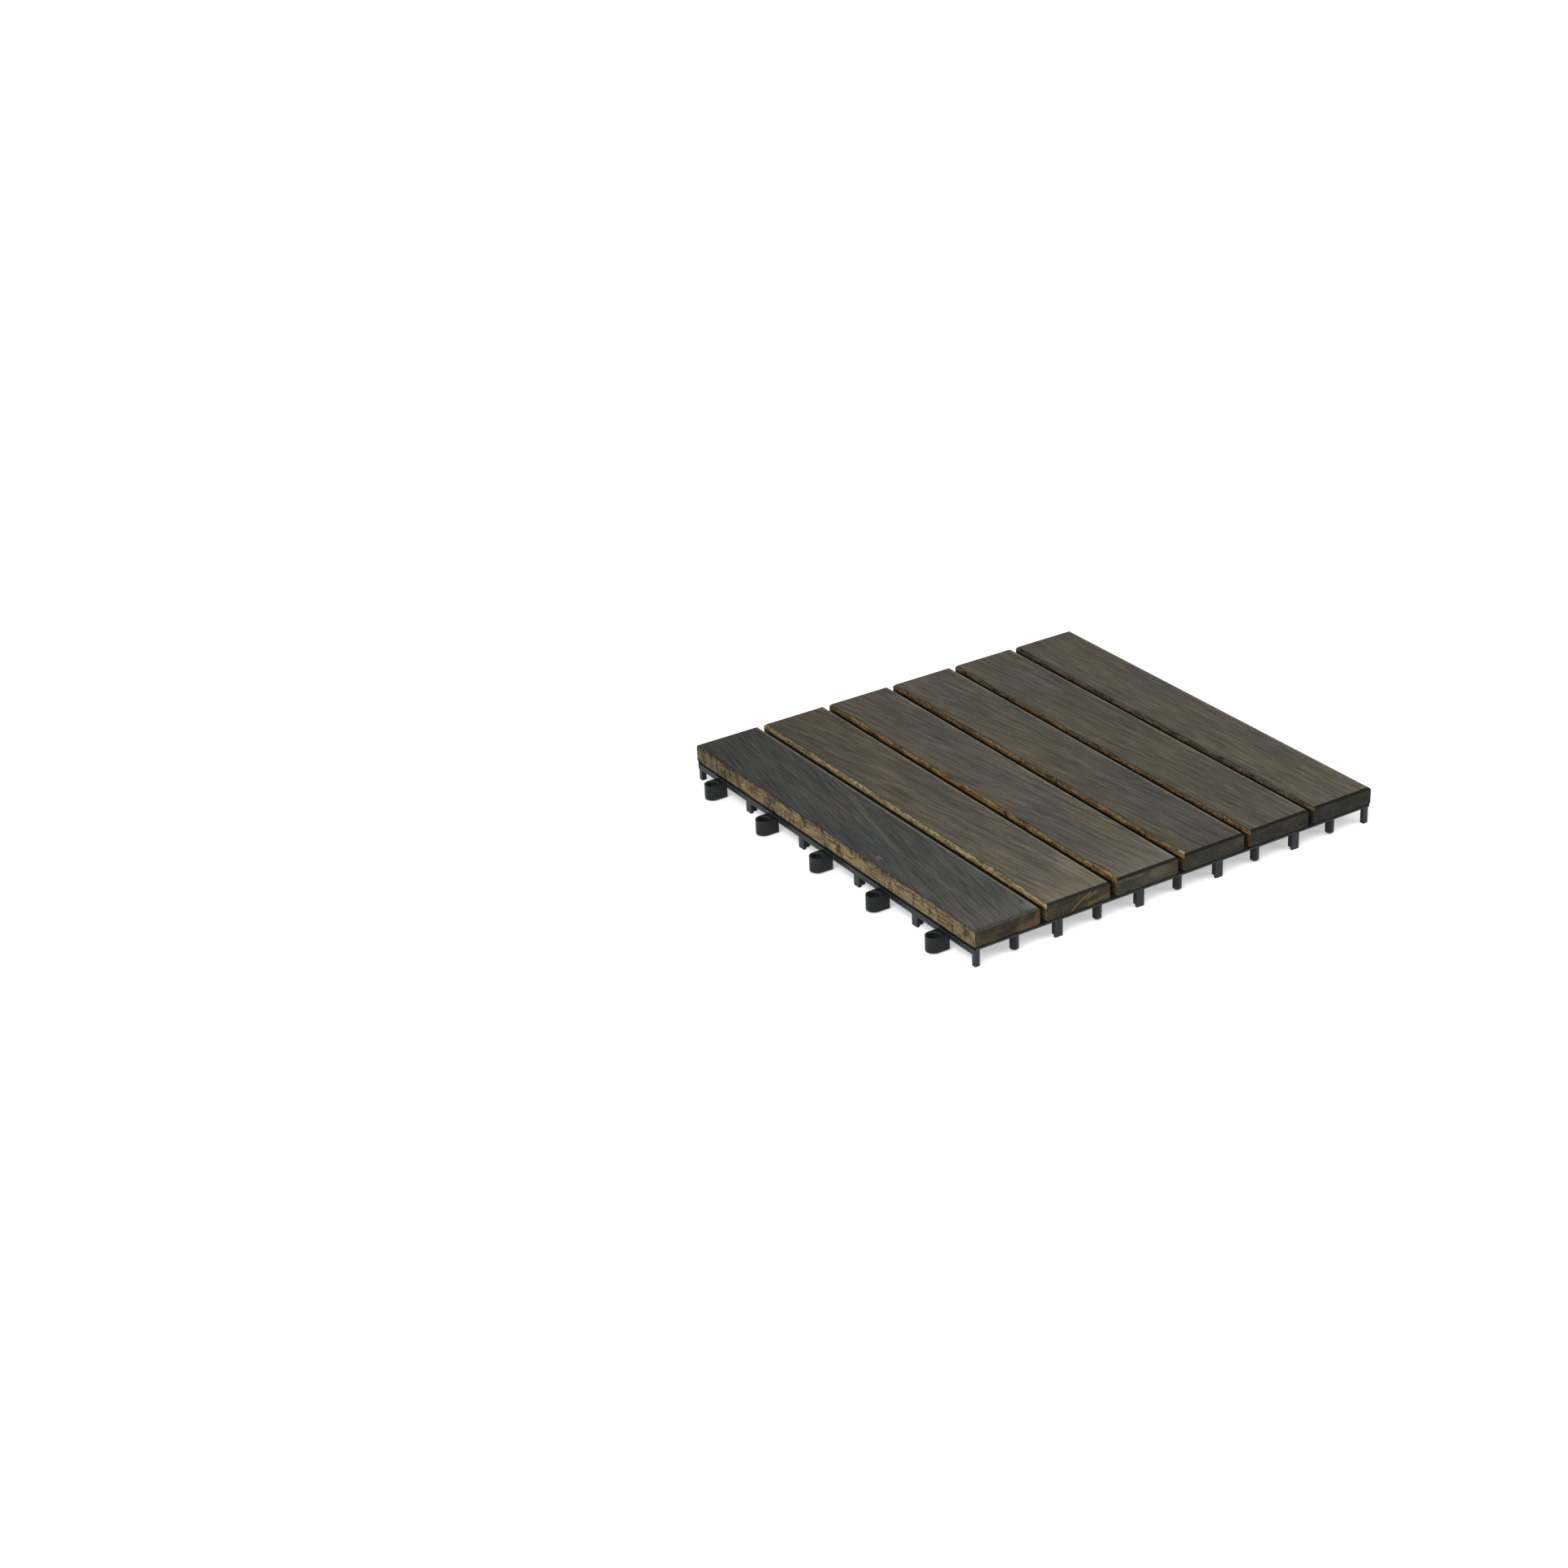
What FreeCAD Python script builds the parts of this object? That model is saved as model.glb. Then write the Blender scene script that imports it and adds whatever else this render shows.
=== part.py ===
import FreeCAD, Part
import math
import os
import Sketcher

# Interlocking deck tile: six timber slats screwed from below to one moulded plastic base.
# X runs across the slats, Y along them, Z up; the ground is Z = 0 and the tile centre is X = Y = 0.
# Five loops stand out on the -X side and five on the +Y side, five pegs hang on -Y and five on +X.

SLATS = 6
EDGE_JOINTS = 5
EDGE_FEET = 4
CELLS = 10

SIZES = [
    ("tile_side", 300.0),
    ("slat_gap", 4.8),
    ("slat_thickness", 11.5),
    ("edge_round", 2.0),
    ("outer_edge_round", 0.6),
    ("end_bevel", 1.4),
    ("base_height", 12.5),
    ("base_setback", 0.4),
    ("rib_thickness", 1.8),
    ("rib_depth", 5.2),
    ("rail_thickness", 2.0),
    ("rail_depth", 5.4),
    ("peg_flange_thickness", 1.8),
    ("peg_flange_width", 12.0),
    ("peg_radius", 2.8),
    ("peg_setback", 0.2),
    ("peg_tip_height", 1.0),
    ("peg_tip_bevel", 0.9),
    ("joint_gap", 4.0),
    ("joint_play", 0.8),
    ("loop_clearance", 0.4),
    ("loop_wall", 1.5),
    ("loop_height", 9.4),
    ("loop_mouth_bevel", 0.4),
    ("post_side", 3.2),
    ("post_setback", 1.0),
    ("edge_foot_width", 5.3),
    ("edge_foot_depth", 1.8),
    ("edge_foot_stem", 4.0),
    ("inner_foot_span", 7.0),
    ("boss_radius", 4.2),
    ("boss_depth", 5.6),
    ("screw_radius", 1.45),
    ("screw_play", 0.2),
    ("screw_length", 13.0),
    ("screw_head_radius", 3.0),
    ("screw_head_sink", 0.1),
    ("screw_tip", 1.6),
    ("screw_slot_width", 0.8),
    ("screw_slot_span", 3.0),
    ("screw_slot_depth", 1.0),
    ("pilot_spare", 0.3),
]

doc = FreeCAD.newDocument("deck_tile")
os.makedirs("parts", exist_ok=True)


class Length:
    """A length in mm that carries the expression it comes from, so features stay tied to the sheet."""

    def __init__(self, text, value):
        self.text = text
        self.value = float(value)

    def combine(self, other, sign, value):
        return Length("(%s %s %s)" % (self.text, sign, other.text), value)

    def __add__(self, other):
        other = as_length(other)
        return self.combine(other, "+", self.value + other.value)

    def __radd__(self, other):
        return as_length(other) + self

    def __sub__(self, other):
        other = as_length(other)
        return self.combine(other, "-", self.value - other.value)

    def __rsub__(self, other):
        return as_length(other) - self

    def __mul__(self, other):
        other = as_length(other)
        return self.combine(other, "*", self.value * other.value)

    def __rmul__(self, other):
        return as_length(other) * self

    def __truediv__(self, other):
        other = as_length(other)
        return self.combine(other, "/", self.value / other.value)

    def __neg__(self):
        return as_length(-1) * self


def as_length(thing):
    return thing if isinstance(thing, Length) else Length("(%r)" % thing, thing)


sheet = doc.addObject("Spreadsheet::Sheet", "Sizes")
size = {}
for row, (word, value) in enumerate(SIZES, start=1):
    sheet.set("A%d" % row, word)
    sheet.set("B%d" % row, str(value))
    sheet.setAlias("B%d" % row, word)
    size[word] = Length("Sizes.%s" % word, value)
doc.recompute()

# Places and heights that several features share.
half_tile = size["tile_side"] / 2
half_base = half_tile - size["base_setback"]
base_top = size["base_height"]
wood_top = base_top + size["slat_thickness"]
pitch = size["tile_side"] / CELLS
joint_pitch = 2 * pitch
half_rib = size["rib_thickness"] / 2
rib_bottom = base_top - size["rib_depth"]
rail_bottom = base_top - size["rail_depth"]
flange_bottom = base_top - size["peg_flange_thickness"]
flange_inside = half_base - size["peg_flange_width"]
loop_top = flange_bottom - size["loop_clearance"]
loop_bottom = loop_top - size["loop_height"]
loop_bore = size["peg_radius"] + size["joint_play"]
loop_outer = loop_bore + size["loop_wall"]
peg_centre = half_base - size["peg_setback"] - size["peg_radius"]
loop_centre = size["tile_side"] + size["joint_gap"] - peg_centre
slat_width = (size["tile_side"] - (SLATS - 1) * size["slat_gap"]) / SLATS
slat_pitch = slat_width + size["slat_gap"]
first_slat = slat_width / 2 - half_tile
outer_row = 4 * pitch
inner_row = 2 * pitch
boss_bottom = base_top - size["boss_depth"]
head_bottom = boss_bottom + size["screw_head_sink"]
screw_hole = size["screw_radius"] + size["screw_play"]


def origin_part(body, role):
    """One of a body's own origin planes or axes."""
    for feature in body.Origin.OriginFeatures:
        if feature.Role == role:
            return feature
    raise ValueError(role)


def new_body(name):
    body = doc.addObject("PartDesign::Body", name)
    body.Label = name
    return body


def bind(thing, where, length):
    length = as_length(length)
    thing.setExpression(where, length.text)


def sketch_on(body, name, role, offset=(0, 0, 0)):
    """Sketch on an origin plane, its own zero moved by the offset along that plane's own axes."""
    sketch = body.newObject("Sketcher::SketchObject", name)
    sketch.AttachmentSupport = [(origin_part(body, role), "")]
    sketch.MapMode = "FlatFace"
    numbers = [as_length(part).value for part in offset]
    sketch.AttachmentOffset = FreeCAD.Placement(FreeCAD.Vector(*numbers), FreeCAD.Rotation())
    for axis, part in zip("xyz", offset):
        if isinstance(part, Length):
            bind(sketch, "AttachmentOffset.Base.%s" % axis, part)
    return sketch


def floor_sketch(body, name, x, y, z):
    return sketch_on(body, name, "XY_Plane", (x, y, z))


def upright_sketch(body, name, x, y):
    """Sketch in an XZ plane through the line X, Y; its own upright is that line."""
    return sketch_on(body, name, "XZ_Plane", (x, 0, -as_length(y)))


def tie(sketch, kind, ids, length):
    """Dimension with its expression; a distance of nothing from an axis becomes a point on it."""
    length = as_length(length)
    if kind in ("DistanceX", "DistanceY") and abs(length.value) < 1e-9:
        axis = -2 if kind == "DistanceX" else -1
        sketch.addConstraint(Sketcher.Constraint("PointOnObject", ids[-2], ids[-1], axis))
        return
    number = sketch.addConstraint(Sketcher.Constraint(kind, *ids, length.value))
    sketch.setExpression("Constraints[%d]" % number, length.text)


def outline(sketch, corners):
    """Closed chain of straight lines; every corner is dimensioned from the sketch's zero."""
    first = len(sketch.Geometry)
    count = len(corners)
    points = [FreeCAD.Vector(as_length(x).value, as_length(y).value, 0) for x, y in corners]
    for index in range(count):
        sketch.addGeometry(Part.LineSegment(points[index], points[(index + 1) % count]), False)
    for index in range(count):
        following = first + (index + 1) % count
        sketch.addConstraint(Sketcher.Constraint("Coincident", first + index, 2, following, 1))
    for index, (x, y) in enumerate(corners):
        tie(sketch, "DistanceX", (-1, 1, first + index, 1), x)
        tie(sketch, "DistanceY", (-1, 1, first + index, 1), y)


def rectangle(sketch, low_x, high_x, low_y, high_y):
    outline(sketch, [(low_x, low_y), (high_x, low_y), (high_x, high_y), (low_x, high_y)])


def cross(arm, half):
    """Corners of an equal-armed cross about the sketch's zero."""
    return [
        (-arm, -half),
        (-half, -half),
        (-half, -arm),
        (half, -arm),
        (half, -half),
        (arm, -half),
        (arm, half),
        (half, half),
        (half, arm),
        (-half, arm),
        (-half, half),
        (-arm, half),
    ]


def disc(sketch, x, y, radius):
    centre = FreeCAD.Vector(as_length(x).value, as_length(y).value, 0)
    here = sketch.addGeometry(Part.Circle(centre, FreeCAD.Vector(0, 0, 1), radius.value), False)
    tie(sketch, "Radius", (here,), radius)
    tie(sketch, "DistanceX", (-1, 1, here, 3), x)
    tie(sketch, "DistanceY", (-1, 1, here, 3), y)


def feature(body, kind, name, sketch):
    made = body.newObject("PartDesign::%s" % kind, name)
    made.Profile = sketch
    made.Refine = False
    return made


def pad(body, name, sketch, height):
    made = feature(body, "Pad", name, sketch)
    bind(made, "Length", height)
    return made


def pocket_up(body, name, sketch, height):
    """Cut upwards from the sketch."""
    made = feature(body, "Pocket", name, sketch)
    made.Type = "Length"
    made.Reversed = True
    bind(made, "Length", height)
    return made


def turned(body, kind, name, sketch):
    """Full turn about the sketch's own upright."""
    made = feature(body, kind, name, sketch)
    made.ReferenceAxis = (sketch, ["V_Axis"])
    made.Angle = 360
    return made


def row(name, body, role, count, length):
    """Linear pattern along a body axis."""
    made = doc.addObject("PartDesign::LinearPattern", name)
    made.Direction = (origin_part(body, role), [""])
    made.Occurrences = count
    made.Length = as_length(length).value
    bind(made, "Length", length)
    return made


def turn(name, body, count, angle):
    """Polar pattern about the tile's own upright."""
    made = doc.addObject("PartDesign::PolarPattern", name)
    made.Axis = (origin_part(body, "Z_Axis"), [""])
    made.Occurrences = count
    made.Angle = angle
    return made


def flip(name, body, role):
    made = doc.addObject("PartDesign::Mirrored", name)
    made.MirrorPlane = (origin_part(body, role), [""])
    return made


def repeat(body, name, originals, steps):
    """Repeat features through several patterns, one after the other."""
    made = body.newObject("PartDesign::MultiTransform", name)
    made.Originals = originals
    made.Transformations = steps
    made.Refine = False
    for step in steps:
        step.Visibility = False
    body.Tip = made
    return made


def lattice(body):
    """Ribs on a square grid; on the lines between pegs they run on under the flanges."""
    for word, count, end in (("even", EDGE_JOINTS, flange_inside), ("odd", EDGE_FEET, half_base)):
        line = -(count - 1) * pitch
        plan = floor_sketch(body, "%s_rib_plan" % word, 0, line, rib_bottom)
        rectangle(plan, -half_base, end, -half_rib, half_rib)
        rib = pad(body, "%s_rib" % word, plan, size["rib_depth"])
        repeat(body, "%s_ribs" % word, [rib], [
            row("%s_rib_row" % word, body, "Y_Axis", count, (count - 1) * joint_pitch),
            turn("%s_rib_turn" % word, body, 2, -90),
        ])
    repeat(body, "lattice_holes", [screw_hole_cut(body, "lattice")], screw_grid(body, "lattice"))


def rim(body):
    """Deep rails on the loop sides, thin flanges on the peg sides, and the rib behind the flanges."""
    far = half_base
    near = -half_base
    thick = size["rail_thickness"]
    rails = floor_sketch(body, "rail_plan", 0, 0, rail_bottom)
    outline(rails, [
        (near, near),
        (near + thick, near),
        (near + thick, far - thick),
        (far, far - thick),
        (far, far),
        (near, far),
    ])
    pad(body, "rails", rails, size["rail_depth"])

    inside = flange_inside
    flanges = floor_sketch(body, "flange_plan", 0, 0, flange_bottom)
    outline(flanges, [
        (near, near),
        (far, near),
        (far, far),
        (inside, far),
        (inside, -inside),
        (near, -inside),
    ])
    pad(body, "flanges", flanges, size["peg_flange_thickness"])

    back = flange_inside - size["rib_thickness"]
    ribs = floor_sketch(body, "inner_rib_plan", 0, 0, rib_bottom)
    edge = near + thick / 2
    outline(ribs, [
        (edge, -inside),
        (inside, -inside),
        (inside, -edge),
        (back, -edge),
        (back, -back),
        (edge, -back),
    ])
    pad(body, "inner_ribs", ribs, size["rib_depth"])


def feet(body):
    """Crosses under every second crossing, plates with stems on the edges, posts at the corners."""
    for word, count in (("even", 5), ("odd", 4)):
        corner = -(count - 1) * pitch
        plan = floor_sketch(body, "%s_foot_plan" % word, corner, corner, 0)
        outline(plan, cross(size["inner_foot_span"] / 2, half_rib))
        foot = pad(body, "%s_foot" % word, plan, rib_bottom)
        repeat(body, "%s_feet" % word, [foot], [
            row("%s_feet_across" % word, body, "X_Axis", count, (count - 1) * joint_pitch),
            row("%s_feet_along" % word, body, "Y_Axis", count, (count - 1) * joint_pitch),
        ])

    half_foot = size["edge_foot_width"] / 2
    deep = size["edge_foot_depth"]
    end = deep + size["edge_foot_stem"]
    plan = floor_sketch(body, "edge_foot_plan", -(EDGE_FEET - 1) * pitch, -half_base, 0)
    outline(plan, [
        (-half_foot, 0),
        (half_foot, 0),
        (half_foot, deep),
        (half_rib, deep),
        (half_rib, end),
        (-half_rib, end),
        (-half_rib, deep),
        (-half_foot, deep),
    ])
    foot = pad(body, "edge_foot", plan, base_top)
    repeat(body, "edge_feet", [foot], [
        row("edge_feet_row", body, "X_Axis", EDGE_FEET, (EDGE_FEET - 1) * joint_pitch),
        turn("edge_feet_turn", body, 4, 360),
    ])

    side = size["post_side"]
    low = (-half_base, side - half_base)
    high = (half_base - size["post_setback"] - side, half_base - size["post_setback"])
    plan = floor_sketch(body, "post_plan", 0, 0, 0)
    for span_x in (low, high):
        for span_y in (low, high):
            rectangle(plan, span_x[0], span_x[1], span_y[0], span_y[1])
    pad(body, "posts", plan, base_top)


def pegs(body):
    """Round pegs with bevelled tips, five under each flange."""
    tip = size["peg_tip_height"]
    bevel = size["peg_tip_bevel"]
    radius = size["peg_radius"]
    profile = upright_sketch(body, "peg_profile", -2 * joint_pitch, -peg_centre)
    outline(profile, [
        (0, tip),
        (radius - bevel, tip),
        (radius, tip + bevel),
        (radius, flange_bottom),
        (0, flange_bottom),
    ])
    peg = turned(body, "Revolution", "peg", profile)
    repeat(body, "all_pegs", [peg], [
        row("peg_row", body, "X_Axis", EDGE_JOINTS, (EDGE_JOINTS - 1) * joint_pitch),
        turn("peg_turn", body, 2, 90),
    ])


def loop_plan(sketch):
    """Half ring outwards, straight neck inwards; the zero is the bore's centre."""
    reach = loop_outer.value
    neck = (loop_centre - half_base).value
    corners = [(0, -reach), (neck, -reach), (neck, reach), (0, reach)]
    lines = []
    for index in range(3):
        start = FreeCAD.Vector(*corners[index], 0)
        end = FreeCAD.Vector(*corners[index + 1], 0)
        lines.append(sketch.addGeometry(Part.LineSegment(start, end), False))
    circle = Part.Circle(FreeCAD.Vector(0, 0, 0), FreeCAD.Vector(0, 0, 1), reach)
    arc = sketch.addGeometry(Part.ArcOfCircle(circle, math.pi / 2, 3 * math.pi / 2), False)
    sketch.addConstraint(Sketcher.Constraint("Coincident", lines[0], 2, lines[1], 1))
    sketch.addConstraint(Sketcher.Constraint("Coincident", lines[1], 2, lines[2], 1))
    sketch.addConstraint(Sketcher.Constraint("Coincident", lines[2], 2, arc, 1))
    sketch.addConstraint(Sketcher.Constraint("Coincident", arc, 2, lines[0], 1))
    sketch.addConstraint(Sketcher.Constraint("Coincident", arc, 3, -1, 1))
    sketch.addConstraint(Sketcher.Constraint("PointOnObject", arc, 1, -2))
    sketch.addConstraint(Sketcher.Constraint("PointOnObject", arc, 2, -2))
    sketch.addConstraint(Sketcher.Constraint("Horizontal", lines[0]))
    sketch.addConstraint(Sketcher.Constraint("Vertical", lines[1]))
    sketch.addConstraint(Sketcher.Constraint("Horizontal", lines[2]))
    tie(sketch, "Radius", (arc,), loop_outer)
    tie(sketch, "DistanceX", (-1, 1, lines[1], 1), loop_centre - half_base)


def loops(body):
    """Standing loops, five on each of two sides, bored for the neighbour's pegs."""
    bevel = size["loop_mouth_bevel"]
    plan = floor_sketch(body, "loop_plan", -loop_centre, -2 * joint_pitch, loop_bottom)
    loop_plan(plan)
    loop = pad(body, "loop", plan, size["loop_height"])
    profile = upright_sketch(body, "loop_bore_profile", -loop_centre, -2 * joint_pitch)
    outline(profile, [
        (0, loop_bottom - 1),
        (loop_bore, loop_bottom - 1),
        (loop_bore, loop_top - bevel),
        (loop_bore + bevel, loop_top),
        (loop_bore + bevel, loop_top + 1),
        (0, loop_top + 1),
    ])
    bore = turned(body, "Groove", "loop_bore", profile)
    repeat(body, "all_loops", [loop, bore], [
        row("loop_row", body, "Y_Axis", EDGE_JOINTS, (EDGE_JOINTS - 1) * joint_pitch),
        turn("loop_turn", body, 2, -90),
    ])


def screw_grid(body, word):
    """Patterns that carry the first screw to all others: across the slats, inwards, and mirrored."""
    return [
        row("%s_across" % word, body, "X_Axis", SLATS, (SLATS - 1) * slat_pitch),
        row("%s_inwards" % word, body, "Y_Axis", 2, outer_row - inner_row),
        flip("%s_mirror" % word, body, "XZ_Plane"),
    ]


def screw_hole_cut(body, word):
    """Clearance hole with a countersink from below, turned about the first screw's line."""
    mouth = size["screw_head_radius"] + size["screw_head_sink"]
    profile = upright_sketch(body, "%s_hole_profile" % word, first_slat, -outer_row)
    outline(profile, [
        (0, boss_bottom - 1),
        (mouth, boss_bottom - 1),
        (mouth, boss_bottom),
        (screw_hole, boss_bottom + mouth - screw_hole),
        (screw_hole, base_top + 1),
        (0, base_top + 1),
    ])
    return turned(body, "Groove", "%s_hole" % word, profile)


def bosses(body):
    """Round bosses that the screws pass through."""
    plan = floor_sketch(body, "boss_plan", first_slat, -outer_row, boss_bottom)
    disc(plan, 0, 0, size["boss_radius"])
    boss = pad(body, "boss", plan, size["boss_depth"])
    hole = screw_hole_cut(body, "boss")
    repeat(body, "all_bosses", [boss, hole], screw_grid(body, "boss"))


def base():
    """The moulding: each family of features is a body of its own, and one fuse joins them."""
    whole = doc.addObject("Part::MultiFuse", "base")
    families = []
    for name, build in (
        ("lattice", lattice),
        ("rim", rim),
        ("feet", feet),
        ("pegs", pegs),
        ("loops", loops),
        ("bosses", bosses),
    ):
        body = new_body(name)
        body.AllowCompound = True
        build(body)
        families.append(body)
    whole.Shapes = families
    whole.Refine = True
    return whole


def slat_section(sketch, left_round, right_round):
    """Flat top and bottom, four rounded corners, centred on the sketch's upright."""
    half = (slat_width / 2).value
    low = base_top.value
    high = wood_top.value
    corners = [
        (-half, low, left_round),
        (half, low, right_round),
        (half, high, right_round),
        (-half, high, left_round),
    ]
    inwards = [(1, 1), (-1, 1), (-1, -1), (1, -1)]
    arcs = []
    for index, (x, y, rounding) in enumerate(corners):
        radius = rounding.value
        centre = FreeCAD.Vector(x + inwards[index][0] * radius, y + inwards[index][1] * radius, 0)
        start = (index + 2) * math.pi / 2
        circle = Part.Circle(centre, FreeCAD.Vector(0, 0, 1), radius)
        arcs.append(sketch.addGeometry(Part.ArcOfCircle(circle, start, start + math.pi / 2), False))
    lines = []
    for index in range(4):
        here = sketch.Geometry[arcs[index]].EndPoint
        there = sketch.Geometry[arcs[(index + 1) % 4]].StartPoint
        lines.append(sketch.addGeometry(Part.LineSegment(here, there), False))
    for index in range(4):
        sketch.addConstraint(Sketcher.Constraint("Tangent", arcs[index], 2, lines[index], 1))
        sketch.addConstraint(Sketcher.Constraint("Tangent", lines[index], 2, arcs[(index + 1) % 4], 1))
        kind = "Horizontal" if index % 2 == 0 else "Vertical"
        sketch.addConstraint(Sketcher.Constraint(kind, lines[index]))
    sketch.addConstraint(Sketcher.Constraint("Equal", arcs[1], arcs[2]))
    sketch.addConstraint(Sketcher.Constraint("Equal", arcs[0], arcs[3]))
    tie(sketch, "Radius", (arcs[0],), left_round)
    tie(sketch, "Radius", (arcs[1],), right_round)
    tie(sketch, "DistanceX", (-1, 1, lines[1], 1), slat_width / 2)
    tie(sketch, "DistanceX", (-1, 1, lines[3], 1), -slat_width / 2)
    tie(sketch, "DistanceY", (-1, 1, lines[0], 1), base_top)
    tie(sketch, "DistanceY", (-1, 1, lines[2], 1), wood_top)


def slat(index):
    """One slat: rounded section run along Y, bevelled end edges, pilot holes from below."""
    name = "slat_%d" % (index + 1)
    body = new_body(name)
    section = sketch_on(body, name + "_section", "XZ_Plane")
    slat_section(section, size["outer_edge_round"] if index == 0 else size["edge_round"], size["edge_round"])
    run = pad(body, name + "_run", section, size["tile_side"])
    run.SideType = "Symmetric"

    bevels = sketch_on(body, name + "_end_bevels", "YZ_Plane")
    for side in (-1, 1):
        end = side * half_tile
        bevel = size["end_bevel"]
        outline(bevels, [
            (end - side * bevel, wood_top),
            (end, wood_top - bevel),
            (end + side, wood_top - bevel),
            (end + side, wood_top + 1),
            (end - side * bevel, wood_top + 1),
        ])
    trim = feature(body, "Pocket", name + "_trim", bevels)
    trim.SideType = "Symmetric"
    trim.Type = "Length"
    bind(trim, "Length", 2 * slat_width)

    pilots = floor_sketch(body, name + "_pilots", 0, 0, base_top)
    for rank in (outer_row, inner_row):
        for side in (-1, 1):
            disc(pilots, 0, side * rank, size["screw_radius"])
    reach = head_bottom + size["screw_length"] + size["pilot_spare"] - base_top
    drill = pocket_up(body, name + "_drill", pilots, reach)
    body.Tip = drill
    body.Placement.Base.x = (first_slat + index * slat_pitch).value
    bind(body, "Placement.Base.x", first_slat + index * slat_pitch)
    return body


def screw():
    """One countersunk screw, head down, on the tile's own upright, with a crossed driver recess."""
    body = new_body("screw_master")
    radius = size["screw_radius"]
    head = size["screw_head_radius"]
    top = head_bottom + size["screw_length"]
    profile = upright_sketch(body, "screw_profile", 0, 0)
    outline(profile, [
        (0, head_bottom),
        (head, head_bottom),
        (radius, head_bottom + head - radius),
        (radius, top - size["screw_tip"]),
        (radius / 6, top),
        (0, top),
    ])
    turned(body, "Revolution", "screw_turned", profile)
    plan = floor_sketch(body, "recess_plan", 0, 0, head_bottom)
    outline(plan, cross(size["screw_slot_span"] / 2, size["screw_slot_width"] / 2))
    body.Tip = pocket_up(body, "recess", plan, size["screw_slot_depth"])
    return body


def screws():
    """All screws as one group of separate solids, four under each slat."""
    master = screw()
    links = []
    for index in range(SLATS):
        for word, rank in (("outer", outer_row), ("inner", inner_row)):
            for side in (-1, 1):
                end = "front" if side < 0 else "back"
                link = doc.addObject("App::Link", "screw_%d_%s_%s" % (index + 1, word, end))
                link.LinkedObject = master
                link.LinkTransform = True
                bind(link, "Placement.Base.x", first_slat + index * slat_pitch)
                bind(link, "Placement.Base.y", side * rank)
                links.append(link)
    group = doc.addObject("Part::Compound", "screws")
    group.Links = links
    return group


pieces = {"base": base(), "screws": screws()}
for number in range(SLATS):
    pieces["slat_%d" % (number + 1)] = slat(number)
doc.recompute()

# Nothing is exported unless every object has built.
for thing in doc.Objects:
    if "Invalid" in thing.State or "Error" in thing.State:
        raise RuntimeError("%s did not build: %s" % (thing.Name, thing.State))

for name, thing in pieces.items():
    thing.Label = name
    shape = thing.Shape
    if shape.isNull() or not shape.isValid():
        raise RuntimeError("%s has no valid shape" % name)
    shape.exportStep("parts/%s.step" % name)
    box = shape.BoundBox
    print("%s: %d solid(s), %.1f mm3, x %.2f..%.2f, y %.2f..%.2f, z %.2f..%.2f" % (
        name, len(shape.Solids), shape.Volume, box.XMin, box.XMax, box.YMin, box.YMax, box.ZMin, box.ZMax))
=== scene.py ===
import math
import bpy
from mathutils import Matrix, Vector


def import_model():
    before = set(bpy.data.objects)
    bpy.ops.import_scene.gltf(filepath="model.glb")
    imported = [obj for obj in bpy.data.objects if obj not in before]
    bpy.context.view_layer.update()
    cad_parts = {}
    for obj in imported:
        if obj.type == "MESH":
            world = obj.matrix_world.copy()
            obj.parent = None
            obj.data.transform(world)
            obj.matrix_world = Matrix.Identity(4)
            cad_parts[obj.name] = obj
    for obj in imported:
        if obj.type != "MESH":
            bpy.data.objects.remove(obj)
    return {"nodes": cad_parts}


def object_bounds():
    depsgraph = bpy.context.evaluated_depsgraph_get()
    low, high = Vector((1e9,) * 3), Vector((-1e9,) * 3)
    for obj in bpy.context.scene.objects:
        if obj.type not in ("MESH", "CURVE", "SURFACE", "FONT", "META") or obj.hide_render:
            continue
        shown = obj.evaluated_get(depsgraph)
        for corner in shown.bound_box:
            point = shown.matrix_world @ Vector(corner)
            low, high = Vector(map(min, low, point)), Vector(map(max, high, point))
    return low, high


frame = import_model()
CAD_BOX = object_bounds()

# Sizes and places on the part, in millimetres, the unit of the materials.
MM = 1000
SLATS = 6
HALF = MM * CAD_BOX[1][0]
WOOD_TOP = MM * CAD_BOX[1][2]
SLAT_WIDTH = 46.0
SLAT_THICKNESS = 11.5
SLAT_PITCH = (2 * HALF - SLAT_WIDTH) / (SLATS - 1)
BASE_HALF = 149.6
# Heights in mm of the painted shadow line under the slats, on the loop sides and on the peg sides.
SHADE_LINE_BY_LOOPS = 10.6
SHADE_LINE_BY_PEGS = 11.9
PARTING_LINE = 8.9
# Depth in mm below the top where the painted shade in the gaps between slats sets in.
GAP_SHADE_DEPTH = 3.5

# Colours, as six hex digits of what is seen in plain light.
PALE_END = "948a79"
PALE_GRAIN = "8d8878"
PALE_RIDGE_WOOD = "8d877a"
TAN_WOOD = "837052"
BEVEL_STAIN = "121310"
STAIN_RUN = "2f2b24"
PLASTIC = "232628"
# Lit copy of the plastic for the outer faces of the rails: painted light.
PLASTIC_LIT_SIDE = "2e3234"
RUBBED_AND_HIGHLIT_PLASTIC = "4a5052"
ZINC = ("9a9b98", "c4c3bd")
ZINC_SPOT = "6e6a62"

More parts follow.
